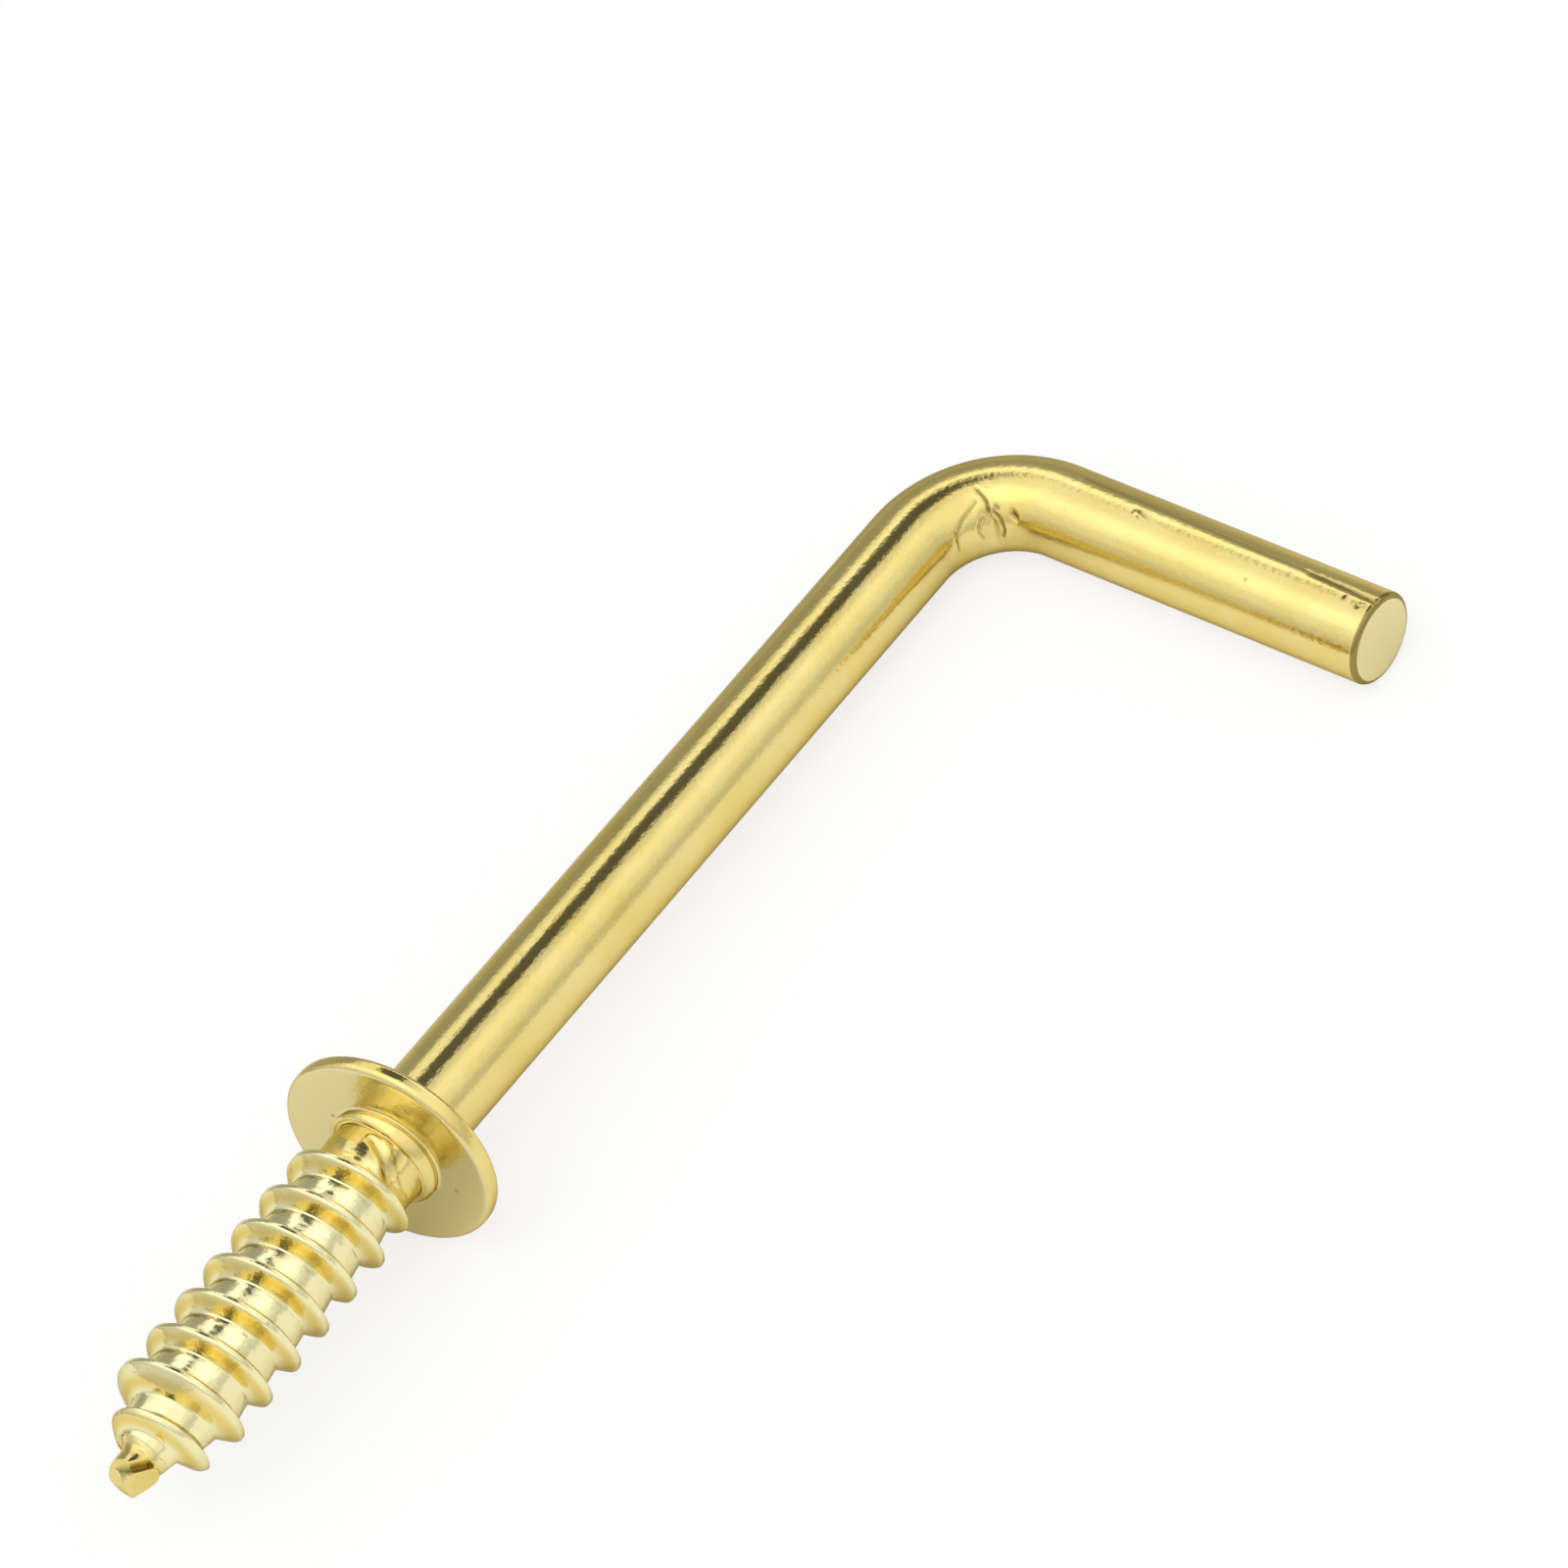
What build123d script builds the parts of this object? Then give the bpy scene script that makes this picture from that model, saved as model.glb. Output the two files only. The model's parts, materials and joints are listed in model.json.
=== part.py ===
"""Square bend screw hook, lying on its side as it comes to rest. Millimetres, +Z up.

It is one piece of wire. A collar is upset on it, a coarse wood-screw thread is rolled
below the collar, and the far end is bent square to make the arm that things hang from.
The hook is first modelled upright, with the collar's seat at z = 0, the shank up the
Z axis and the arm along +X. Then it is laid down: the arm lies along the floor, the
collar's rim touches it, and the screw points along -X.
"""

import math
import os

from build123d import *

# Wire, shank and arm
wire_diameter = 4.7
hook_height = 50.0  # from the seat to the outside of the arm
arm_reach = 26.4  # from the outside of the shank to the arm's end
bend_inside_radius = 3.1
arm_end_rounding = 0.3

# Collar
collar_diameter = 11.0
collar_rim_thickness = 0.85
collar_rim_rounding = 0.3
collar_crown = 0.25  # how much thicker the collar is at the shank than at its rim
collar_root_fillet = 0.4

# Plain part of the screw, below the seat
step_diameter = 5.6
step_height = 0.4
step_chamfer = 0.12
neck_diameter = 5.1

# Thread
screw_length = 21.1  # from the seat to the tip
thread_diameter = 6.15
root_diameter = 4.8
thread_pitch = 2.2
crest_width = 0.4
flank_angle = 42.0  # between a flank and a plane square to the screw
thread_start = 1.4  # from the seat to where the ridge comes out of the neck
run_in_length = 2.1  # along this the ridge grows to its full height
start_angle = 196.0  # from the arm's side, turning the way the thread runs

# Point
core_taper_length = 5.4
crest_taper_length = 4.3
ridge_stop = 1.1  # from the end of the ridge to the tip
tip_diameter = 1.3
tip_rounding = 0.45

# Setting out of the ridge
stations_per_turn = 16
ridge_sink = 0.35  # the ridge is rooted this far inside the core

# Sizes that follow from these
wire_radius = wire_diameter / 2
collar_radius = collar_diameter / 2
step_radius = step_diameter / 2
neck_radius = neck_diameter / 2
thread_radius = thread_diameter / 2
root_radius = root_diameter / 2
tip_radius = tip_diameter / 2
bend_radius = bend_inside_radius + wire_radius
arm_height = hook_height - wire_radius
arm_end = arm_reach - wire_radius
collar_top = collar_rim_thickness + collar_crown
neck_end = thread_start + run_in_length
taper_start = screw_length - core_taper_length
ridge_end = screw_length - ridge_stop


def blend(low, high, share):
    """The value this share of the way from low to high, held at both ends."""
    return low + (high - low) * min(max(share, 0), 1)


def core_radius_at(depth):
    """Radius of the core under the ridge, at this depth below the seat."""
    run_in = blend(neck_radius, root_radius, (depth - thread_start) / run_in_length)
    taper = blend(tip_radius, root_radius, (screw_length - depth) / core_taper_length)
    return min(run_in, taper)


def crest_radius_at(depth):
    """Radius of the ridge's crest, which dips under the core at both ends."""
    hidden = core_radius_at(depth) - ridge_sink / 2
    grown = (depth - thread_start) / run_in_length
    left = (ridge_end - depth) / (crest_taper_length - ridge_stop)
    return blend(hidden, thread_radius, min(grown, left))


def ridge_corners_at(depth):
    """Radius and depth of the four corners of the ridge's section, from its low side."""
    crest = crest_radius_at(depth)
    base = core_radius_at(depth) - ridge_sink
    half_crest = crest_width / 2
    half_base = half_crest + (crest - base) * math.tan(math.radians(flank_angle))
    return [
        (base, depth + half_base),
        (crest, depth + half_crest),
        (crest, depth - half_crest),
        (base, depth - half_base),
    ]


def ridge_length(first_depth, last_depth):
    """One stretch of the right-hand ridge: four long edges with faces ruled between."""
    stations = math.ceil((last_depth - first_depth) / thread_pitch * stations_per_turn)
    shares = [station / stations for station in range(stations + 1)]
    sections = []
    for share in shares:
        depth = blend(first_depth, last_depth, share)
        turned = (depth - thread_start) / thread_pitch * math.tau
        angle = math.radians(start_angle) + turned
        sections.append([
            Vector(radius * math.cos(angle), -radius * math.sin(angle), -corner_depth)
            for radius, corner_depth in ridge_corners_at(depth)
        ])
    edges = [Edge.make_spline(corner, parameters=shares) for corner in zip(*sections)]
    next_edges = edges[1:] + edges[:1]
    sides = [Face.make_surface_from_curves(*pair) for pair in zip(edges, next_edges)]
    ends = [Face(Wire.make_polygon(section)) for section in (sections[0], sections[-1])]
    return Solid(Shell(sides + ends))


# The ridge is made a turn at a time
turns = math.ceil((ridge_end - thread_start) / thread_pitch)
turn_depths = [blend(thread_start, ridge_end, turn / turns) for turn in range(turns + 1)]
ridge = [ridge_length(*depths) for depths in zip(turn_depths, turn_depths[1:])]

# The wire's centre line: up the shank, round the bend and out along the arm
with BuildLine(Plane.XZ) as centre_line:
    FilletPolyline((0, 0), (0, arm_height), (arm_end, arm_height), radius=bend_radius)

with BuildPart() as upright_hook:
    # Shank, bend and arm
    with BuildSketch(Plane.XY):
        Circle(wire_radius)
    sweep(path=centre_line.line)
    fillet(upright_hook.faces().sort_by(Axis.X)[-1].edges(), arm_end_rounding)

    # Collar, flat below where it seats and slightly crowned above
    with BuildSketch(Plane.XZ) as collar_section:
        Polygon(
            (0, 0),
            (collar_radius, 0),
            (collar_radius, collar_rim_thickness),
            (wire_radius, collar_top),
            (0, collar_top),
            align=None,
        )
        fillet(collar_section.vertices().group_by(Axis.X)[-1], collar_rim_rounding)
    revolve(axis=Axis.Z)
    collar_root = (
        upright_hook.edges()
        .filter_by(GeomType.CIRCLE)
        .filter_by(lambda edge: edge.radius < collar_radius - collar_rim_rounding)
        .filter_by_position(Axis.Z, collar_rim_thickness, arm_height - bend_radius - wire_radius)
    )
    fillet(collar_root, collar_root_fillet)

    # Step, neck and core, down to the blunt tip
    with BuildSketch(Plane.XZ) as core_section:
        Polygon(
            (0, collar_rim_thickness),
            (0, -screw_length),
            (tip_radius, -screw_length),
            (root_radius, -taper_start),
            (root_radius, -neck_end),
            (neck_radius, -thread_start),
            (neck_radius, -step_height),
            (step_radius - step_chamfer, -step_height),
            (step_radius, step_chamfer - step_height),
            (step_radius, 0),
            (wire_radius, 0),
            (wire_radius, collar_rim_thickness),
            align=None,
        )
        tip_corner = core_section.vertices().group_by(Axis.Y)[0].sort_by(Axis.X)[-1]
        fillet(tip_corner, tip_rounding)
    revolve(axis=Axis.Z)

    # Thread, joined on a turn at a time because all turns at once can fail to join
    for turn_of_ridge in ridge:
        add(turn_of_ridge)

# Lying at rest, the shank leans by the angle that brings the collar's rim down to the
# floor that the arm lies on. The rim touches with the rounding on its upper side.
rounding_height = collar_rim_thickness - collar_rim_rounding
along = arm_height - rounding_height
across = collar_radius - collar_rim_rounding
drop = math.asin((collar_rim_rounding - wire_radius) / math.hypot(along, across))
lean = math.atan2(across, along) + drop
seat_height = wire_radius + arm_height * math.sin(lean)
shank_direction = (math.cos(lean), 0, -math.sin(lean))
arm_direction = (0, -1, 0)

resting = Plane((0, 0, seat_height), x_dir=arm_direction, z_dir=shank_direction)
middle = (resting.location * upright_hook.part).bounding_box().center()
resting_centred = resting.offset(0)
resting_centred.origin = (-middle.X, -middle.Y, seat_height)

with BuildPart() as screw_hook:
    with Locations(resting_centred):
        add(upright_hook.part)

screw_hook.part.label = "screw_hook"
os.makedirs("parts", exist_ok=True)
export_step(screw_hook.part, "parts/screw_hook.step")
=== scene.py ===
"""Looks of the square bend screw hook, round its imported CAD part, laid out as an add-on.

The hook is made the way the real one is: a straight blank with its collar, the thread
rolled on, marks left by the tools, the bend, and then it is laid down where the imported
record's mounts say. Lengths are in metres, apart from those of the dents and the nib,
which are in millimetres on the straight wire.
"""

import json
import math

import bpy
import numpy as np
from mathutils import Matrix, Vector


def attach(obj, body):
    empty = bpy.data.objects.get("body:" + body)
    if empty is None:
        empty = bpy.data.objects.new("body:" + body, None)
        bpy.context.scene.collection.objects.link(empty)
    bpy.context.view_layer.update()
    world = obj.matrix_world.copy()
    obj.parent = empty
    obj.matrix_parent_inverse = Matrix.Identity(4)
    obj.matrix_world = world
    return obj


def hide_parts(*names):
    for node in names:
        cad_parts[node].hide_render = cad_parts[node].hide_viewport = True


bl_info = {
    "name": "Square bend screw hook",
    "version": (1, 0, 0),
    "blender": (4, 5, 0),
    "location": "View3D > Sidebar > Hook",
    "description": "Makes a brass-plated square bend screw hook and its studio",
    "category": "Add Mesh",
}

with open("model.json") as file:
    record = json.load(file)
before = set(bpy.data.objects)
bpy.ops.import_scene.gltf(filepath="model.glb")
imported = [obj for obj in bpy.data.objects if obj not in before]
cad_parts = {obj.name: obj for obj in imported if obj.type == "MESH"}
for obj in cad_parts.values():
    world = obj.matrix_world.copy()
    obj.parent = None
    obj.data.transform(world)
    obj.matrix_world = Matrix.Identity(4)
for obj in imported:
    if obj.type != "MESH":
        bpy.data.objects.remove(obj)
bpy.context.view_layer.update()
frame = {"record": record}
MOUNTS = {mount["name"]: mount for mount in frame["record"]["mounts"]}
MM = 0.001


def length(name, description, default):
    """A size in metres."""
    return bpy.props.FloatProperty(
        name=name, description=description, default=default, unit="LENGTH", precision=5
    )


def angle(name, description, degrees):
    """An angle, given here in degrees."""
    return bpy.props.FloatProperty(
        name=name, description=description, default=math.radians(degrees), unit="ROTATION"
    )


def colour(name, description, default):
    """A linear colour."""
    return bpy.props.FloatVectorProperty(
        name=name, description=description, default=default, subtype="COLOR", size=3
    )


class HookSizes(bpy.types.PropertyGroup):
    """Sizes of the wire, the collar, the thread and the point."""

    wire_radius: length("Wire radius", "Half of the wire's thickness", MM * 2.35)
    hook_height: length("Hook height", "From the seat to the outside of the arm", MM * 50)
    arm_reach: length("Arm reach", "From the outside of the shank to the arm's end", MM * 26.4)
    bend_inside: length("Bend inside radius", "Radius of the bend's inner side", MM * 3.1)
    end_bevel: length("End bevel", "Rounding of the arm's sheared end", MM * 0.3)
    collar_radius: length("Collar radius", "Radius of the collar's rim", MM * 5.5)
    rim_thickness: length("Rim thickness", "Thickness of the collar at its rim", MM * 0.85)
    rim_rounding: length("Rim rounding", "Rounding of the collar's rim", MM * 0.3)
    collar_crown: length("Collar crown", "Extra thickness at the shank", MM * 0.25)
    root_fillet: length("Root fillet", "Fillet between collar and shank", MM * 0.4)
    collar_lean: angle("Collar lean", "How far the collar leans from square", 8.6)
    collar_lean_towards: angle("Collar leans towards", "From the arm's side", -35)
    step_radius: length("Step radius", "Radius of the step under the collar", MM * 2.8)
    step_height: length("Step height", "Height of the step", MM * 0.4)
    neck_radius: length("Neck radius", "Radius of the plain neck", MM * 2.55)
    screw_length: length("Screw length", "From the seat to the tip, before the pinch", MM * 21.7)
    screw_lean: angle("Screw lean", "How far the screw leans from the shank", 2.1)
    core_radius: length("Core radius", "Radius of the core between the ridges", MM * 2.4)
    core_taper: length("Core taper", "Length of the core's taper to the tip", MM * 6.0)
    tip_radius: length("Tip radius", "Radius of the taper at the tip", MM * 0.45)
    nib_radius: length("Nib radius", "Least radius of the core, at the nib", MM * 1.08)
    crest_radius: length("Crest radius", "Radius over the ridge's crest", MM * 3.15)
    pitch: length("Pitch", "Distance from one ridge to the next", MM * 2.2)
    crest_width: length("Crest width", "Width of the ridge's crest", MM * 0.25)
    crest_rounding: length("Crest rounding", "How softly the crest meets its flanks", MM * 0.1)
    root_rounding: length("Root rounding", "How softly the flanks meet the core", MM * 0.12)
    tip_flank: angle("Tip flank", "Flank towards the tip, from a plane square to the screw", 35)
    collar_flank: angle("Collar flank", "Flank towards the collar, measured the same way", 22)
    thread_start: length("Thread start", "Depth where the ridge comes out", MM * 1.4)
    run_in: length("Run-in", "Length over which the ridge grows", MM * 1.0)
    land_rise: length("Land rise", "How much the land between ridges rises to the tip", MM * 0.33)
    unevenness: length("Unevenness", "Height of the dies' unevenness on the thread", MM * 0.1)
    start_angle: angle("Start angle", "Where the ridge starts, from the arm's side", 204)
    crest_taper: length("Crest taper", "Length of the crest's taper to the tip", MM * 4.9)
    ridge_stop: length("Ridge stop", "From the ridge's end to the tip", MM * 1.7)


class HookFinish(bpy.types.PropertyGroup):
    """Colours of the plating."""

    brass: colour("Brass", "The bright plating", (0.90, 0.75, 0.30))
    brass_deep: colour("Deep brass", "Plating where it is thicker", (0.87, 0.69, 0.22))
    brass_pale: colour("Pale brass", "Plating over struck, matte faces", (0.85, 0.74, 0.38))
    # A painted highlight: paler brass on the lands between the ridges, which the end face takes
    # in part
    brass_land_highlight_and_end: colour("Land", "Thin plating between ridges and on the end", (0.96, 0.89, 0.50))
    # A painted shade: the deeper amber that light reflected between the ridges gives, laid on
    # their flanks
    brass_flank_shade: colour("Flank", "Thick plating on the ridge's flanks", (0.85, 0.67, 0.22))
    edge: colour("Edge", "Plating seen along its surface", (0.66, 0.60, 0.44))
    # Painted shade in the dents and the nib's groove; it also darkens the sheared end and the
    # pinholes
    shade_and_dark_marks: colour("Crevice", "Creases and pinholes in the plating", (0.14, 0.09, 0.02))


class HookStudio(bpy.types.PropertyGroup):
    """The camera's place."""

    azimuth: angle("Azimuth", "Direction from the hook to the camera", -128.7)
    elevation: angle("Elevation", "Height of the camera above the floor", 49.94)
    roll: angle("Roll", "Turn of the camera about its own axis", -20.2)
    distance: length("Distance", "From the camera to the point it aims at", 0.36797)
    aim: bpy.props.FloatVectorProperty(
        name="Aim",
        description="Point in the picture's middle",
        size=3,
        subtype="TRANSLATION",
        default=(0.01047, 0.0033, 0.00767),
    )


# The straight blank

# Points in each ring of the blank, and how far apart its rings are
AROUND = 120
CORE_RINGS = MM * 0.05
STEP_RINGS = MM * 0.07
RIM_RINGS = MM * 0.1
FACE_RINGS = MM * 0.2
SHANK_RINGS = MM * 0.35
BEND_RINGS = MM * 0.09
ARM_RINGS = MM * 0.3
END_RINGS = MM * 0.12
END_FACE_RINGS = MM * 0.15

# Steps in the profile's arcs
RIM_STEPS = 8
FILLET_STEPS = 6
BEVEL_STEPS = 6

# Stretches before and after the bend, and before the end, that have the finer rings
BEFORE_BEND = MM
AFTER_BEND = MM * 2
BEFORE_END = MM * 3

NOSE_LENGTH = MM * 0.25
STEP_CHAMFER = MM * 0.12


def blend(low, high, share):
    """The value this share of the way from low to high, held at both ends."""
    return low + (high - low) * np.clip(share, 0, 1)


def arc_points(along, radius, size, start, end, steps):
    """Points (along, radius) on an arc round a centre; angles in degrees from the wire's axis."""
    turns = np.radians(np.linspace(start, end, steps + 1))
    return [(along + size * math.cos(t), radius + size * math.sin(t)) for t in turns]


def run_points(start, end, spacing):
    """Evenly spaced points (along, radius) from start up to, not including, end."""
    steps = max(1, math.ceil(math.dist(start, end) / spacing))
    return [tuple(np.add(start, np.subtract(end, start) * i / steps)) for i in range(steps)]


def core_profile(sizes):
    """Points of the screw's core, from the tip up to the step."""
    depths = np.arange(sizes.screw_length, sizes.step_height, -CORE_RINGS)
    from_tip = sizes.screw_length - depths
    run_in = blend(
        sizes.neck_radius, sizes.core_radius, (depths - sizes.thread_start) / sizes.run_in
    )
    taper = blend(sizes.tip_radius, sizes.core_radius, from_tip / sizes.core_taper)
    taper = np.maximum(taper, sizes.nib_radius)
    nose = np.clip(from_tip / NOSE_LENGTH, 0, 1)
    rounding = np.sqrt(1 - (1 - nose) ** 2)
    radii = np.minimum(run_in, taper) * rounding
    return list(zip(-depths, radii))


def collar_profile(sizes):
    """Points of the step, the collar's underside, its rim and its crown."""
    step, rim, rounding = sizes.step_radius, sizes.collar_radius, sizes.rim_rounding
    low, flat, top = -sizes.step_height, rim - rounding, sizes.rim_thickness
    root = sizes.wire_radius + sizes.root_fillet
    root_along = top + sizes.collar_crown * (rim - root) / (rim - sizes.wire_radius)
    chamfer_start = (low, step - STEP_CHAMFER)
    chamfer_end = (low + STEP_CHAMFER, step)
    points = run_points((low, sizes.neck_radius), chamfer_start, RIM_RINGS)
    points += run_points(chamfer_start, chamfer_end, CORE_RINGS)
    points += run_points(chamfer_end, (0, step), STEP_RINGS)
    points += run_points((0, step), (0, flat), FACE_RINGS)
    points += arc_points(rounding, flat, rounding, 180, 90, RIM_STEPS)
    points += run_points((rounding, rim), (top - rounding, rim), RIM_RINGS)[1:]
    points += arc_points(top - rounding, flat, rounding, 90, 0, RIM_STEPS)
    points += run_points((top, flat), (root_along, root), FACE_RINGS)[1:]
    points += arc_points(
        root_along + sizes.root_fillet, root, sizes.root_fillet, 180, 270, FILLET_STEPS
    )
    return points


def bend_places(sizes):
    """Where along the straight wire the bend starts and ends, and where the wire ends."""
    bend = sizes.bend_inside + sizes.wire_radius
    bend_start = sizes.hook_height - sizes.wire_radius - bend
    bend_end = bend_start + bend * math.pi / 2
    return bend_start, bend_end, bend_end + sizes.arm_reach - sizes.wire_radius - bend


def wire_profile(sizes, start):
    """Points of the wire from the collar up the shank, round the bend and out to the end."""
    radius, bevel = sizes.wire_radius, sizes.end_bevel
    bend_start, bend_end, end = bend_places(sizes)
    near_bend = (bend_start - BEFORE_BEND, radius)
    past_bend = (bend_end + AFTER_BEND, radius)
    near_end = (end - BEFORE_END, radius)
    points = run_points((start, radius), near_bend, SHANK_RINGS)[1:]
    points += run_points(near_bend, past_bend, BEND_RINGS)
    points += run_points(past_bend, near_end, ARM_RINGS)
    points += run_points(near_end, (end - bevel, radius), END_RINGS)
    points += arc_points(end - bevel, radius - bevel, bevel, 90, 0, BEVEL_STEPS)
    points += run_points((end, radius - bevel), (end, 0), END_FACE_RINGS)[1:]
    return points


def lathe_blank(profile):
    """A closed mesh turned from the profile, with a vertex at each pole."""
    profile = np.array(profile)
    middle = profile[1:] if profile[0, 1] == 0 else profile
    turn = np.arange(AROUND) / AROUND * math.tau
    rings = len(middle)
    points = np.zeros((rings, AROUND, 3))
    points[..., 0] = middle[:, 1, None] * np.cos(turn)
    points[..., 1] = middle[:, 1, None] * np.sin(turn)
    points[..., 2] = middle[:, 0, None]
    vertices = [tuple(point) for point in points.reshape(-1, 3)]
    vertices += [(0, 0, profile[0, 0]), (0, 0, profile[-1, 0])]
    tip_pole, end_pole = rings * AROUND, rings * AROUND + 1
    last = (rings - 1) * AROUND
    sides = [(i, (i + 1) % AROUND) for i in range(AROUND)]
    faces = [
        (low + i, low + j, low + AROUND + j, low + AROUND + i)
        for low in range(0, last, AROUND)
        for i, j in sides
    ]
    for i, j in sides:
        faces.append((tip_pole, j, i))
        faces.append((end_pole, last + i, last + j))
    mesh = bpy.data.meshes.new("screw_hook_blank")
    mesh.from_pydata(vertices, [], faces)
    mesh.shade_smooth()
    return mesh


# Nodes


class NodeMaker:
    """Adds and links nodes in one tree."""

    def __init__(self, tree):
        self.tree = tree

    def add(self, kind, inputs=(), **settings):
        """A node of this kind, with its settings and its inputs by name or place."""
        node = self.tree.nodes.new(kind)
        for setting, value in settings.items():
            setattr(node, setting, value)
        for place, value in dict(inputs).items():
            socket = node.inputs[place]
            if isinstance(value, bpy.types.NodeSocket):
                self.tree.links.new(value, socket)
            else:
                socket.default_value = value
        return node

    def value(self, operation, *values, clamp=False):
        """The result of one Math node."""
        inputs = dict(enumerate(values))
        return self.add("ShaderNodeMath", inputs, operation=operation, use_clamp=clamp).outputs[0]

    def plus(self, first, second):
        """The sum of two values."""
        return self.value("ADD", first, second)

    def minus(self, first, second):
        """The first value less the second."""
        return self.value("SUBTRACT", first, second)

    def times(self, first, second):
        """The product of two values."""
        return self.value("MULTIPLY", first, second)

    def over(self, first, second):
        """The first value divided by the second."""
        return self.value("DIVIDE", first, second)

    def between(self, value, low, high, start=0.0, end=1.0, **settings):
        """The value, carried over from the range low to high to the range start to end."""
        inputs = {0: value, 1: low, 2: high, 3: start, 4: end}
        return self.add("ShaderNodeMapRange", inputs, **settings).outputs[0]

    def noise(self, place, scale, detail=2.0):
        """Soft noise from 0 to 1."""
        inputs = {"Vector": place, "Scale": scale, "Detail": detail}
        return self.add("ShaderNodeTexNoise", inputs).outputs["Fac"]

    def kept(self, name, output="Fac"):
        """A value that is stored with the mesh."""
        return self.add("ShaderNodeAttribute", attribute_name=name).outputs[output]

    def mix(self, factor, first, second):
        """A mix of two colours, each a plain colour or another node's output."""
        colours = [
            value if isinstance(value, bpy.types.NodeSocket) else (*value, 1)
            for value in (first, second)
        ]
        inputs = {0: factor, 6: colours[0], 7: colours[1]}
        return self.add("ShaderNodeMix", inputs, data_type="RGBA").outputs[2]


# The thread, rolled by Geometry Nodes

THREAD_INPUTS = (
    ("Pitch", "pitch"),
    ("Thread start", "thread_start"),
    ("Run-in", "run_in"),
    ("Start angle", "start_angle"),
    ("Crest radius", "crest_radius"),
    ("Crest width", "crest_width"),
    ("Crest rounding", "crest_rounding"),
    ("Root rounding", "root_rounding"),
    ("Tip flank", "tip_flank"),
    ("Collar flank", "collar_flank"),
    ("Land rise", "land_rise"),
    ("Unevenness", "unevenness"),
    ("Crest taper", "crest_taper"),
    ("Ridge stop", "ridge_stop"),
    ("Screw length", "screw_length"),
)

RIDGE_SINK = MM * 0.35  # how far under the core the ridge starts and ends
PLAIN_TIP = MM * 0.3  # the tip's last stretch, which the dies don't reach
LUMP_SIZE = MM * 0.9  # size of the dies' unevenness
FULL_RIDGE = MM * 0.7  # height of a ridge that is stored as 1


def thread_tree():
    """The Geometry Nodes tree that raises a right-hand ridge on the core of a blank."""
    tree = bpy.data.node_groups.new("roll_thread", "GeometryNodeTree")
    interface = tree.interface
    interface.new_socket("Blank", in_out="INPUT", socket_type="NodeSocketGeometry")
    for name, _ in THREAD_INPUTS:
        interface.new_socket(name, in_out="INPUT", socket_type="NodeSocketFloat")
    interface.new_socket("Plating", in_out="INPUT", socket_type="NodeSocketMaterial")
    interface.new_socket("Threaded", in_out="OUTPUT", socket_type="NodeSocketGeometry")
    make = NodeMaker(tree)
    given = make.add("NodeGroupInput").outputs
    place = make.add("GeometryNodeInputPosition").outputs[0]
    x, y, z = make.add("ShaderNodeSeparateXYZ", {0: place}).outputs
    depth = make.times(z, -1)
    core = make.value("SQRT", make.plus(make.value("POWER", x, 2), make.value("POWER", y, 2)))
    turn = make.value("ARCTAN2", make.times(y, -1), x)

    # How far this point is from the ridge's middle, along the screw
    past_start = make.minus(depth, given["Thread start"])
    turned = make.over(make.minus(turn, given["Start angle"]), math.tau)
    phase = make.minus(make.over(past_start, given["Pitch"]), turned)
    beyond = make.minus(phase, make.value("ROUND", phase))
    off = make.times(make.value("ABSOLUTE", beyond), given["Pitch"])

    # How high the ridge stands at this depth
    grown = make.over(past_start, given["Run-in"])
    to_tip = make.minus(given["Screw length"], depth)
    taper = make.minus(given["Crest taper"], given["Ridge stop"])
    left = make.over(make.minus(to_tip, given["Ridge stop"]), taper)
    share = make.value("MINIMUM", grown, left, clamp=True)
    hidden = make.minus(core, RIDGE_SINK)
    crest = make.plus(hidden, make.times(share, make.minus(given["Crest radius"], hidden)))

    # The section of the ridge, with a flatter flank towards the tip
    tip_slope = make.value("TANGENT", given["Tip flank"])
    collar_slope = make.value("TANGENT", given["Collar flank"])
    tipward = make.value("GREATER_THAN", beyond, 0)
    slope = make.plus(collar_slope, make.times(tipward, make.minus(tip_slope, collar_slope)))
    past_crest = make.minus(off, make.over(given["Crest width"], 2))
    cone = make.minus(crest, make.over(past_crest, slope))
    ridge = make.value("SMOOTH_MIN", crest, cone, given["Crest rounding"])

    # The land between ridges, which rises towards the tip
    along_land = make.minus(make.value("FRACT", phase), 0.5)
    rise = make.times(make.times(given["Land rise"], share), along_land)
    rolled = make.value("SMOOTH_MAX", make.plus(core, rise), ridge, given["Root rounding"])

    # What the dies reach, and how uneven they leave it
    below_start = make.value("GREATER_THAN", depth, given["Thread start"])
    last_rolled = make.minus(given["Screw length"], PLAIN_TIP)
    reached = make.times(below_start, make.value("LESS_THAN", depth, last_rolled))
    lump = make.times(make.minus(make.noise(place, 1 / LUMP_SIZE), 0.5), given["Unevenness"])
    raised = make.times(make.minus(make.plus(rolled, lump), core), reached)
    scale = make.over(make.plus(core, raised), core)
    spread = make.add("ShaderNodeCombineXYZ", {0: scale, 1: scale, 2: 1.0}).outputs[0]
    moved = make.add("ShaderNodeVectorMath", {0: place, 1: spread}, operation="MULTIPLY")

    # The ridge's height is stored before the points move, because it is worked out from them
    stored = make.add(
        "GeometryNodeStoreNamedAttribute",
        {"Geometry": given["Blank"], "Name": "ridge", "Value": make.over(raised, FULL_RIDGE)},
        data_type="FLOAT",
        domain="POINT",
    )
    placed = make.add(
        "GeometryNodeSetPosition", {"Geometry": stored.outputs[0], "Position": moved.outputs[0]}
    )
    whole = make.add("GeometryNodeRealizeInstances", {0: placed.outputs[0]})
    plated = make.add(
        "GeometryNodeSetMaterial", {"Geometry": whole.outputs[0], "Material": given["Plating"]}
    )
    make.add("NodeGroupOutput", {"Threaded": plated.outputs[0]})
    return tree


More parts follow.
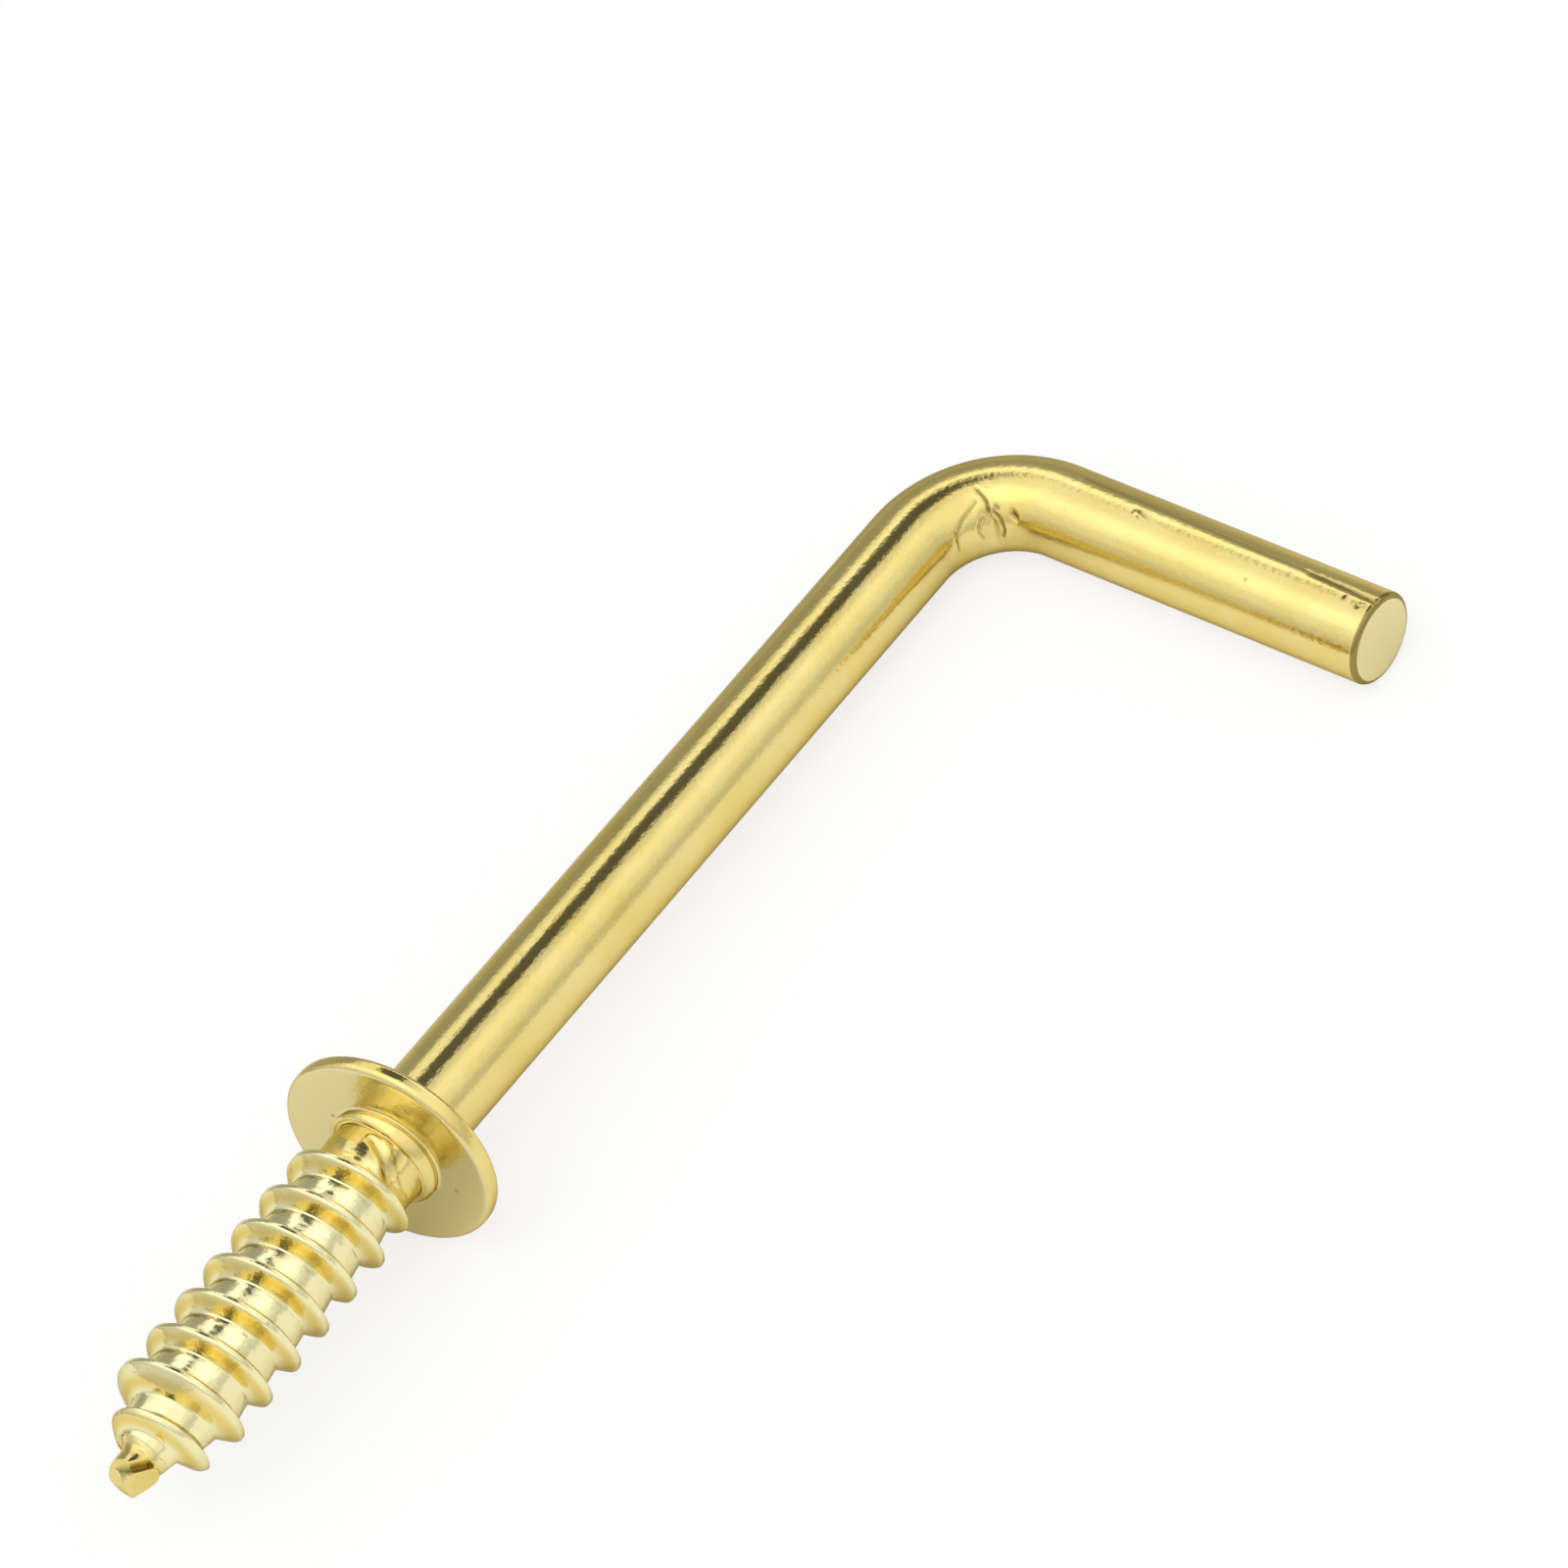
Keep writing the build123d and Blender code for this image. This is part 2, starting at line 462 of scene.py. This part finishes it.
def roll_thread(blank, sizes, plating):
    """The blank's mesh with the thread rolled on."""
    piece = bpy.data.objects.new("screw_hook_rolling", blank)
    bpy.context.scene.collection.objects.link(piece)
    modifier = piece.modifiers.new("thread", "NODES")
    modifier.node_group = thread_tree()
    sockets = {
        item.name: item.identifier
        for item in modifier.node_group.interface.items_tree
        if item.in_out == "INPUT"
    }
    for name, size in THREAD_INPUTS:
        modifier[sockets[name]] = getattr(sizes, size)
    modifier[sockets["Plating"]] = plating
    depsgraph = bpy.context.evaluated_depsgraph_get()
    rolled = bpy.data.meshes.new_from_object(piece.evaluated_get(depsgraph))
    bpy.data.objects.remove(piece)
    return rolled


# Marks that the tools leave on the blank


def from_line(along, across, line):
    """Distance from points (along, across) to a line through the given points."""
    nearest = np.full(along.shape, np.inf)
    for (a0, c0), (a1, c1) in zip(line, line[1:] or line):
        da, dc = a1 - a0, c1 - c0
        share = ((along - a0) * da + (across - c0) * dc) / max(da * da + dc * dc, 1e-12)
        share = np.clip(share, 0, 1)
        nearest = np.minimum(nearest, np.hypot(along - a0 - share * da, across - c0 - share * dc))
    return nearest


# Dents in the wire: half width and depth in mm, how dark the painted shade in them is, and
# places (mm along the wire, degrees round it). A negative depth is a raised mark.
DENTS = (
    # Creases, dimple and pits inside the bend
    (0.17, 0.12, 1.0, ((46.45, 68), (46.9, 50), (46.9, 38))),
    (0.18, 0.05, 0.6, ((46.25, 53), (44.9, 38), (44.0, 26), (43.75, 6))),
    (0.22, 0.06, 0.5, ((46.4, 34), (45.95, 26), (45.85, 17), (46.1, 6))),
    (0.20, 0.08, 0.8, ((47.3, 38), (47.75, 27), (47.9, 14), (47.7, 3))),
    (0.95, 0.16, 0.12, ((46.75, 25), (46.9, 8))),
    (0.18, 0.08, 0.8, ((47.45, 44), (47.65, 41))),
    (0.26, 0.16, 1.0, ((48.7, 35), (49.0, 30))),
    # Nicks and drag lines on the arm
    (0.17, 0.07, 0.8, ((55.7, 90), (56.2, 85))),
    (0.15, 0.04, 0.4, ((67.8, 86),)),
    (0.18, 0.05, 0.4, ((68.6, 81), (68.9, 85))),
    (0.15, 0.02, 0.4, ((52.0, 108), (65.5, 102))),
    (0.34, 0.05, 0.8, ((65.5, 102), (67.5, 100), (69.4, 97))),
    # Tool marks on the neck
    (0.50, 0.16, 0.5, ((-0.75, 42), (-1.5, 38))),
    (0.28, 0.10, 0.4, ((-0.9, 78), (-1.3, 52), (-1.9, 36))),
    (0.22, -0.06, 0.0, ((-0.55, 66), (-1.0, 44), (-1.6, 24))),
)

LEAST_DENTED = 0.9  # share of the wire's radius inside which nothing is dented
SHEARED_SHARE = 0.8  # share of the end's bevel that is darkened
# how dark that part of the end's bevel is made
SHEARED_DARKENING = 0.9


def strike_marks(points, sizes):
    """Presses the dents into the blank, and gives each point's painted shade in the dents and the
    darkening of the sheared end.
    """
    radius = np.hypot(points[:, 0], points[:, 1])
    turn = np.degrees(np.arctan2(-points[:, 1], points[:, 0]))
    round_wire = np.radians(turn) * sizes.wire_radius / MM
    along = points[:, 2] / MM
    pressed, dent_shade = np.zeros(len(points)), np.zeros(len(points))
    for half_width, depth, shade_level, places in DENTS:
        line = [(z, math.radians(degrees) * sizes.wire_radius / MM) for z, degrees in places]
        off = np.clip(from_line(along, round_wire, line) / half_width, 0, 1)
        pressed += depth * (1 - off**2) ** 2
        dent_shade = np.maximum(dent_shade, shade_level * (1 - off**2) ** 2)
    on_wire = (radius < sizes.step_radius) & (radius > sizes.wire_radius * LEAST_DENTED)
    share = 1 - np.where(on_wire, pressed * MM, 0) / np.maximum(radius, MM)
    points[:, 0] *= share
    points[:, 1] *= share
    sheared = points[:, 2] > bend_places(sizes)[2] - sizes.end_bevel * SHEARED_SHARE
    return np.where(on_wire, np.maximum(dent_shade, sheared * SHEARED_DARKENING), 0)


NIB_TURN = 55.7  # degrees round the wire to the side that the nib shows
NIB_LENGTH = 2.6

# Two cutting planes: the normal's parts across, outwards and down, and its product with
# any point of the plane
NIB_CUTS = (((0.865, 0.35, 0.50), 11.07), ((-0.38, 0.30, 0.925), 19.94))

# The groove between the cuts. Its ends are (down, across) as the photograph shows them,
# along a slant that starts at this depth and has this cosine and sine. It is on the side
# that faces the photograph, and runs back this far past the screw's axis.
NIB_GROOVE = ((1.27, -0.54), (0.09, 0.37))
SLANT_START = 19.66
SLANT_DOWN = 0.89
SLANT_OUT = 0.454
GROOVE_HALF_WIDTH = 0.26
GROOVE_DEPTH = 0.4
GROOVE_BACK = -0.3

# Where the nib starts to be pushed over, the length over which it is, and how far its end
# would go to the side and up
PUSH_START = 18.8
PUSH_LENGTH = 1.6
PUSH_SIDE = 0.3
PUSH_UP = 0.85


def pinch_point(points, sizes):
    """Cuts the nib with two slanting blades, grooves and pushes it, and gives the painted shade
    in its groove.
    """
    turn = math.radians(NIB_TURN)
    facing = np.array([math.cos(turn), -math.sin(turn), 0])
    side = np.array([math.sin(turn), math.cos(turn), 0])
    down = np.array([0, 0, -1])
    near = points[:, 2] < -(sizes.screw_length - MM * NIB_LENGTH)
    nib = points[near] / MM
    for (across, out, deep), reach in NIB_CUTS:
        normal = side * across + facing * out + down * deep
        normal_length = np.linalg.norm(normal)
        beyond = np.clip((nib @ normal - reach) / normal_length, 0, None)
        nib -= beyond[:, None] * normal / normal_length
    front = nib @ facing
    seen = (nib @ down - SLANT_START) * SLANT_DOWN - front * SLANT_OUT
    off = np.clip(from_line(seen, nib @ side, NIB_GROOVE) / GROOVE_HALF_WIDTH, 0, 1)
    groove = (1 - off) * (front > GROOVE_BACK)
    nib -= groove[:, None] * facing * GROOVE_DEPTH
    pushed = np.clip((nib @ down - PUSH_START) / PUSH_LENGTH, 0, 1)[:, None]
    points[near] = (nib + pushed * (side * PUSH_SIDE - down * PUSH_UP)) * MM
    # The groove gets a painted shade
    mark_shade_and_end_dark = np.zeros(len(points))
    mark_shade_and_end_dark[near] = groove
    return mark_shade_and_end_dark


# Bending and laying down

LEAN_MARGIN = MM * 0.1  # how far past the collar its lean still counts
NECK_SET_BACK = 0.07  # how steeply the neck sets back from the arm's side


def lean_collar(points, sizes):
    """Leans the collar about the middle of its thickness, fading out towards the wire."""
    middle = sizes.rim_thickness / 2
    radius = np.hypot(points[:, 0], points[:, 1])
    reach = np.clip((radius - sizes.neck_radius) / (sizes.step_radius - sizes.neck_radius), 0, 1)
    furthest = middle + sizes.step_height + sizes.collar_crown + LEAN_MARGIN
    near = np.abs(points[:, 2] - middle) < furthest
    towards = sizes.collar_lean_towards
    along = points[:, 0] * math.cos(towards) + points[:, 1] * math.sin(towards)
    points[:, 2] += np.where(near, reach * math.tan(sizes.collar_lean) * along, 0)


def lean_screw(points, sizes):
    """Sets the neck back and leans the screw below it towards the arm's side."""
    on_neck = np.clip(-points[:, 2], 0, sizes.thread_start)
    below = np.clip(-points[:, 2] - sizes.thread_start, 0, None)
    points[:, 0] += below * math.tan(sizes.screw_lean) - on_neck * NECK_SET_BACK


def bend_square(points, sizes):
    """Bends the straight wire square, towards +X."""
    bend = sizes.bend_inside + sizes.wire_radius
    bend_start, bend_end, _ = bend_places(sizes)
    x, along = points[:, 0].copy(), points[:, 2].copy()
    turned = np.clip((along - bend_start) / bend, 0, math.pi / 2)
    past = np.where(along > bend_end, along - bend_end, 0)
    before = np.minimum(along, bend_start)
    points[:, 0] = bend - (bend - x) * np.cos(turned) + past
    points[:, 2] = before + (bend - x) * np.sin(turned)


def resting_matrix():
    """From the upright hook, seat at the origin and arm along +X, to where the mounts say."""
    down = Vector(MOUNTS["screw"]["axis"]).normalized()
    on_screw = Vector(MOUNTS["screw"]["pos_m"])
    seat = on_screw + down * (Vector(MOUNTS["seat"]["pos_m"]) - on_screw).dot(down)
    arm = Vector(MOUNTS["arm"]["axis"]).normalized()
    up = -down
    side = up.cross(arm)
    turned = Matrix((arm, side, up)).transposed()
    return Matrix.Translation(seat) @ turned.to_4x4()


# Points of the mesh, and what is stored with them for the plating

SEAT_DEPTH = MM * 0.06  # how near the seat's plane a point of the underside is
SEAT_MARGIN = MM * 0.1  # how far inside the step's radius the underside starts
END_DEPTH = MM * 0.01  # how near the wire's end a point of the end face is
NIB_FADE = MM * 1.5  # length over which the thread's painted highlight and shade fade out above the nib
MID_FLANK = 0.55  # stored height of the ridge where its painted flank shade is full
FLANK_REACH = 0.45  # how far above and below that the painted shade reaches
# share of the lands' painted highlight colour that the end face takes
END_PALENESS = 0.7


def read_points(mesh):
    """The mesh's vertices as an array."""
    points = np.zeros(len(mesh.vertices) * 3, np.float32)
    mesh.vertices.foreach_get("co", points)
    return points.reshape(-1, 3).astype(float)


def write_points(mesh, points):
    """Puts the array back into the mesh's vertices."""
    mesh.vertices.foreach_set("co", points.astype(np.float32).ravel())
    mesh.update()


def keep_values(mesh, name, values):
    """Stores one value for each point."""
    kept = mesh.attributes.new(name, "FLOAT", "POINT")
    kept.data.foreach_set("value", values.astype(np.float32))


def keep_blank(mesh, points, sizes):
    """Stores each point's place on the straight wire, which of its faces it is on, and the masks
    of the painted shade on the ridges' flanks and of the painted highlight on the lands.
    """
    blank = mesh.attributes.new("blank", "FLOAT_VECTOR", "POINT")
    blank.data.foreach_set("vector", (points / MM).astype(np.float32).ravel())
    radius = np.hypot(points[:, 0], points[:, 1])
    on_seat = np.abs(points[:, 2]) < SEAT_DEPTH
    underside = on_seat & (radius > sizes.step_radius - SEAT_MARGIN)
    end_face = points[:, 2] > bend_places(sizes)[2] - END_DEPTH
    keep_values(mesh, "struck", underside | end_face)
    ridge = np.zeros(len(points), np.float32)
    mesh.attributes["ridge"].data.foreach_get("value", ridge)
    above_nib = points[:, 2] / NIB_FADE + sizes.screw_length / NIB_FADE - 1
    below_start = -points[:, 2] / sizes.thread_start - 1
    on_thread = np.clip(np.minimum(below_start, above_nib), 0, 1)
    # The flank mask carries the painted shade on the ridges' flanks; the land mask carries the
    # painted highlight on the lands, which the end face takes in part
    flank = np.clip(1 - np.abs(ridge - MID_FLANK) / FLANK_REACH, 0, 1)
    keep_values(mesh, "flank", on_thread * flank)
    keep_values(mesh, "land", np.maximum(on_thread * (1 - flank), end_face * END_PALENESS))


# Materials

# Patterns in the plating, which lie on the straight wire and are counted for each mm
CLOUD_SCALE = 0.35
CLOUD_DETAIL = 3.0
CLOUD_RANGE = (0.35, 0.7)
PINHOLE_SCALE = 0.8
PINHOLE_RARITY = 0.88
PINHOLE_EDGE = (0.05, 0.13)
PINHOLE_DARKNESS = 0.45
MARK_DARKNESS = 0.8
PEEL_SCALE = 3.8
DRAWN_STRETCH = (6.0, 6.0, 0.25)
DRAWN_SHARE = 0.25
RELIEF_STRENGTH = 0.6
RELIEF_HEIGHT = MM * 0.02
WIRE_ROUGHNESS = 0.13
STRUCK_ROUGHNESS = 0.16

# The floor's tones: to the camera, and to everything else, which finds it darker further
# along the way that FLOOR_SLOPE gives. That darkening is a painted shade, seen in the
# plating's reflections and in the light the floor bounces
FLOOR_SEEN = 0.95
FLOOR_GLOW = 0.75
FLOOR_SLOPE = (0.5, 0.7)
FLOOR_FADE = (0.014, 0.034)
FLOOR_NEAR = 0.84
FLOOR_FAR = 0.47


def empty_material(name):
    """A material with no nodes, and what makes its nodes."""
    material = bpy.data.materials.new(name)
    material.use_nodes = True
    material.node_tree.nodes.clear()
    return material, NodeMaker(material.node_tree)


def plating_material(finish):
    """Bright brass plating over drawn wire."""
    material, make = empty_material("brass_plate")
    blank = make.kept("blank", "Vector")
    struck = make.kept("struck")

    # Its colour, by patch and by face, with a painted highlight on the lands between ridges and a
    # painted shade on the ridges' flanks
    clouds = make.between(make.noise(blank, CLOUD_SCALE, CLOUD_DETAIL), *CLOUD_RANGE)
    tint = make.mix(clouds, finish.brass, finish.brass_deep)
    tint = make.mix(struck, tint, finish.brass_pale)
    tint = make.mix(make.kept("land"), tint, finish.brass_land_highlight_and_end)
    tint = make.mix(make.kept("flank"), tint, finish.brass_flank_shade)

    # Pinholes, and dark marks: painted shade in the dents and the nib's groove, and a darker
    # sheared end
    cells = make.add("ShaderNodeTexVoronoi", {"Vector": blank, "Scale": PINHOLE_SCALE}).outputs
    chance = make.add("ShaderNodeSeparateColor", {0: cells["Color"]}).outputs[0]
    few = make.value("GREATER_THAN", chance, PINHOLE_RARITY)
    dot = make.between(cells["Distance"], *PINHOLE_EDGE, 1.0, 0.0)
    pinhole = make.times(few, dot)
    mark = make.times(make.kept("mark_shade_and_end_dark"), MARK_DARKNESS)
    dark = make.value("MAXIMUM", mark, make.times(pinhole, PINHOLE_DARKNESS))
    tint = make.mix(dark, tint, finish.shade_and_dark_marks)

    # Fine relief: orange peel, lines along the drawn wire, and the pinholes
    stretched = make.add(
        "ShaderNodeVectorMath", {0: blank, 1: DRAWN_STRETCH}, operation="MULTIPLY"
    ).outputs[0]
    drawn = make.times(make.noise(stretched, 1.0), DRAWN_SHARE)
    height = make.minus(make.plus(make.noise(blank, PEEL_SCALE), drawn), pinhole)
    relief = {"Height": height, "Strength": RELIEF_STRENGTH, "Distance": RELIEF_HEIGHT}
    bump = make.add("ShaderNodeBump", relief).outputs[0]
    shader = make.add(
        "ShaderNodeBsdfPrincipled",
        {
            "Base Color": tint,
            "Metallic": 1.0,
            "Roughness": make.between(struck, 0.0, 1.0, WIRE_ROUGHNESS, STRUCK_ROUGHNESS),
            "Specular Tint": (*finish.edge, 1),
            "Normal": bump,
        },
    )
    make.add("ShaderNodeOutputMaterial", {"Surface": shader.outputs[0]})
    return material


def floor_material():
    """Floor that is white to the camera and keeps the hook's shadow, but has a painted shade,
    darker along FLOOR_SLOPE, for reflections and bounced light.
    """
    material, make = empty_material("white_floor")
    seen = make.add("ShaderNodeLightPath").outputs["Is Camera Ray"]
    place = make.add("ShaderNodeTexCoord").outputs["Object"]
    x, y, _ = make.add("ShaderNodeSeparateXYZ", {0: place}).outputs
    away = make.plus(make.times(x, FLOOR_SLOPE[0]), make.times(y, FLOOR_SLOPE[1]))
    # painted shade, which only rays other than the camera's see
    painted_shade_tone = make.between(away, *FLOOR_FADE, FLOOR_NEAR, FLOOR_FAR)
    tone = make.between(seen, 0.0, 1.0, painted_shade_tone, FLOOR_SEEN)
    matte = make.add("ShaderNodeBsdfDiffuse", {"Color": tone}).outputs[0]
    glow = make.add("ShaderNodeEmission", {"Color": (1, 1, 1, 1), "Strength": 1.0}).outputs[0]
    share = make.times(seen, FLOOR_GLOW)
    mixed = make.add("ShaderNodeMixShader", {0: share, 1: matte, 2: glow}).outputs[0]
    make.add("ShaderNodeOutputMaterial", {"Surface": mixed})
    return material


# The studio

# Brightness of the light tent by elevation, in front of the hook and behind it
FRONT_LEVELS = ((-90, 0.8), (0, 0.75), (8, 0.62), (14, 0.68), (30, 0.9), (45, 1.05))
BACK_LEVELS = ((-90, 0.6), (0, 0.42), (12, 0.36), (27, 0.42), (34, 0.9), (42, 1.0))

# The tent's dimmer side: centre (azimuth, elevation), half width and softness, in degrees
BACK_SIDE = ((42, 10), 60, 18)

# Patches of the tent, given the same way, each with how bright it is against the rest
PATCHES = (
    ((22, 57.5), 13.5, 4, 0.1),
    ((-10, 63), 12, 8, 0.75),
    ((60, 27), 8, 4, 0.82),
    ((36, 38), 7, 5, 1.45),
    ((120, 56), 15, 10, 1.25),
    ((-20, 29), 17, 8, 1.45),
    ((180, 72), 20, 8, 1.35),
)

FLOOR_HALF = 1.5

LAMP_PLACE = (-0.25, -0.15, 0.8)
LAMP_WIDTH = 0.6
LAMP_WATTS = 1.2

LENS_MM = 180
SENSOR_MM = 36
NEAREST_SEEN = 0.01


def direction(azimuth, elevation):
    """A unit vector from an azimuth and an elevation in degrees."""
    a, e = math.radians(azimuth), math.radians(elevation)
    return (math.cos(a) * math.cos(e), math.sin(a) * math.cos(e), math.sin(e))


def patch(make, towards, centre, half_width, softness):
    """1 inside a round patch of the surroundings, 0 outside it."""
    dot = make.add(
        "ShaderNodeVectorMath", {0: towards, 1: direction(*centre)}, operation="DOT_PRODUCT"
    )
    off = make.value("ARCCOSINE", dot.outputs["Value"])
    inner, outer = math.radians(half_width - softness), math.radians(half_width + softness)
    return make.between(off, inner, outer, 1.0, 0.0, interpolation_type="SMOOTHSTEP")


def height_curve(make, elevation, stops):
    """Brightness against elevation, from (degrees, level) pairs."""
    share = make.between(elevation, -math.pi / 2, math.pi / 2)
    ramp = make.add("ShaderNodeValToRGB", {0: share})
    ramp.color_ramp.interpolation = "EASE"
    elements = ramp.color_ramp.elements
    while len(elements) < len(stops):
        elements.new(0.5)
    for element, (degrees, level) in zip(elements, stops):
        element.position = (degrees + 90) / 180
        element.color = (level, level, level, 1)
    return ramp.outputs["Color"]


def surroundings():
    """A light tent, dimmer behind and near the horizon, with bright and dim patches."""
    world = bpy.data.worlds.new("light_tent")
    world.use_nodes = True
    world.node_tree.nodes.clear()
    bpy.context.scene.world = world
    make = NodeMaker(world.node_tree)
    towards = make.add("ShaderNodeTexCoord").outputs["Generated"]
    z = make.add("ShaderNodeSeparateXYZ", {0: towards}).outputs[2]
    elevation = make.value("ARCSINE", z)
    front = height_curve(make, elevation, FRONT_LEVELS)
    back = height_curve(make, elevation, BACK_LEVELS)
    level = make.mix(patch(make, towards, *BACK_SIDE), front, back)
    strength = 1.0
    for centre, half_width, softness, brightness in PATCHES:
        share = patch(make, towards, centre, half_width, softness)
        change = make.times(share, brightness - 1)
        strength = make.times(strength, make.plus(change, 1.0))
    tent = make.add("ShaderNodeBackground", {"Color": level, "Strength": strength}).outputs[0]
    white = make.add("ShaderNodeBackground", {"Color": (1, 1, 1, 1), "Strength": 1.0}).outputs[0]
    seen = make.add("ShaderNodeLightPath").outputs["Is Camera Ray"]
    mixed = make.add("ShaderNodeMixShader", {0: seen, 1: tent, 2: white}).outputs[0]
    make.add("ShaderNodeOutputWorld", {"Surface": mixed})


def lay_floor():
    """A wide plane under the hook."""
    mesh = bpy.data.meshes.new("floor")
    half = FLOOR_HALF
    corners = [(-half, -half, 0), (half, -half, 0), (half, half, 0), (-half, half, 0)]
    mesh.from_pydata(corners, [], [(0, 1, 2, 3)])
    mesh.materials.append(floor_material())
    floor = bpy.data.objects.new("floor", mesh)
    bpy.context.scene.collection.objects.link(floor)


def hang_lamp():
    """One broad soft lamp overhead, which doesn't show in the plating."""
    light = bpy.data.lights.new("softbox", "AREA")
    light.shape = "DISK"
    light.size = LAMP_WIDTH
    light.energy = LAMP_WATTS
    lamp = bpy.data.objects.new("softbox", light)
    lamp.location = LAMP_PLACE
    lamp.rotation_euler = (-lamp.location).to_track_quat("-Z", "Y").to_euler()
    lamp.visible_glossy = False
    bpy.context.scene.collection.objects.link(lamp)


def place_camera(studio):
    """The camera, turned and rolled to the photograph's angle."""
    data = bpy.data.cameras.new("camera")
    data.lens = LENS_MM
    data.sensor_width = SENSOR_MM
    data.clip_start = NEAREST_SEEN
    camera = bpy.data.objects.new("camera", data)
    towards = Vector(direction(math.degrees(studio.azimuth), math.degrees(studio.elevation)))
    place = Matrix.Translation(Vector(studio.aim) + towards * studio.distance)
    aimed = towards.to_track_quat("Z", "Y").to_matrix().to_4x4()
    camera.matrix_world = place @ aimed @ Matrix.Rotation(studio.roll, 4, "Z")
    bpy.context.scene.collection.objects.link(camera)
    bpy.context.scene.camera = camera


# The add-on


class OBJECT_OT_make_screw_hook(bpy.types.Operator):
    """Make the hook from its blank: thread, marks, bend and rest"""

    bl_idname = "object.make_screw_hook"
    bl_label = "Make the screw hook"

    def execute(self, context):
        sizes = context.scene.hook_sizes
        profile = core_profile(sizes) + collar_profile(sizes)
        profile += wire_profile(sizes, profile[-1][0])
        plating = plating_material(context.scene.hook_finish)
        mesh = roll_thread(lathe_blank(profile), sizes, plating)
        points = read_points(mesh)
        keep_blank(mesh, points, sizes)
        mark_shade_and_end_dark = np.maximum(strike_marks(points, sizes), pinch_point(points, sizes))
        keep_values(mesh, "mark_shade_and_end_dark", mark_shade_and_end_dark)
        lean_collar(points, sizes)
        lean_screw(points, sizes)
        bend_square(points, sizes)
        write_points(mesh, points)
        mesh.transform(resting_matrix())
        mesh.name = "plated_hook"
        piece = bpy.data.objects.new("plated_hook", mesh)
        context.scene.collection.objects.link(piece)
        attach(piece, "root")
        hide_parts("screw_hook")
        return {"FINISHED"}


class OBJECT_OT_make_hook_studio(bpy.types.Operator):
    """Make the floor, the light tent, the lamp and the camera"""

    bl_idname = "object.make_hook_studio"
    bl_label = "Make the studio"

    def execute(self, context):
        context.scene.view_settings.view_transform = "Standard"
        surroundings()
        lay_floor()
        hang_lamp()
        place_camera(context.scene.hook_studio)
        return {"FINISHED"}


class VIEW3D_PT_screw_hook(bpy.types.Panel):
    """Lists the hook's sizes, its finish, the camera's place and the operators"""

    bl_label = "Screw hook"
    bl_idname = "VIEW3D_PT_screw_hook"
    bl_space_type = "VIEW_3D"
    bl_region_type = "UI"
    bl_category = "Hook"

    def draw(self, context):
        layout = self.layout
        scene = context.scene
        for group in (scene.hook_sizes, scene.hook_finish, scene.hook_studio):
            for name in group.__annotations__:
                layout.prop(group, name)
        layout.operator(OBJECT_OT_make_screw_hook.bl_idname)
        layout.operator(OBJECT_OT_make_hook_studio.bl_idname)


CLASSES = (
    HookSizes,
    HookFinish,
    HookStudio,
    OBJECT_OT_make_screw_hook,
    OBJECT_OT_make_hook_studio,
    VIEW3D_PT_screw_hook,
)


def register():
    """Adds the classes and the scene's settings."""
    for kind in CLASSES:
        bpy.utils.register_class(kind)
    bpy.types.Scene.hook_sizes = bpy.props.PointerProperty(type=HookSizes)
    bpy.types.Scene.hook_finish = bpy.props.PointerProperty(type=HookFinish)
    bpy.types.Scene.hook_studio = bpy.props.PointerProperty(type=HookStudio)


def unregister():
    """Takes away what register adds."""
    del bpy.types.Scene.hook_sizes
    del bpy.types.Scene.hook_finish
    del bpy.types.Scene.hook_studio
    for kind in reversed(CLASSES):
        bpy.utils.unregister_class(kind)


def main():
    """Registers the add-on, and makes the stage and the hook."""
    register()
    bpy.ops.object.make_hook_studio()
    bpy.ops.object.make_screw_hook()


if __name__ == "__main__":
    main()
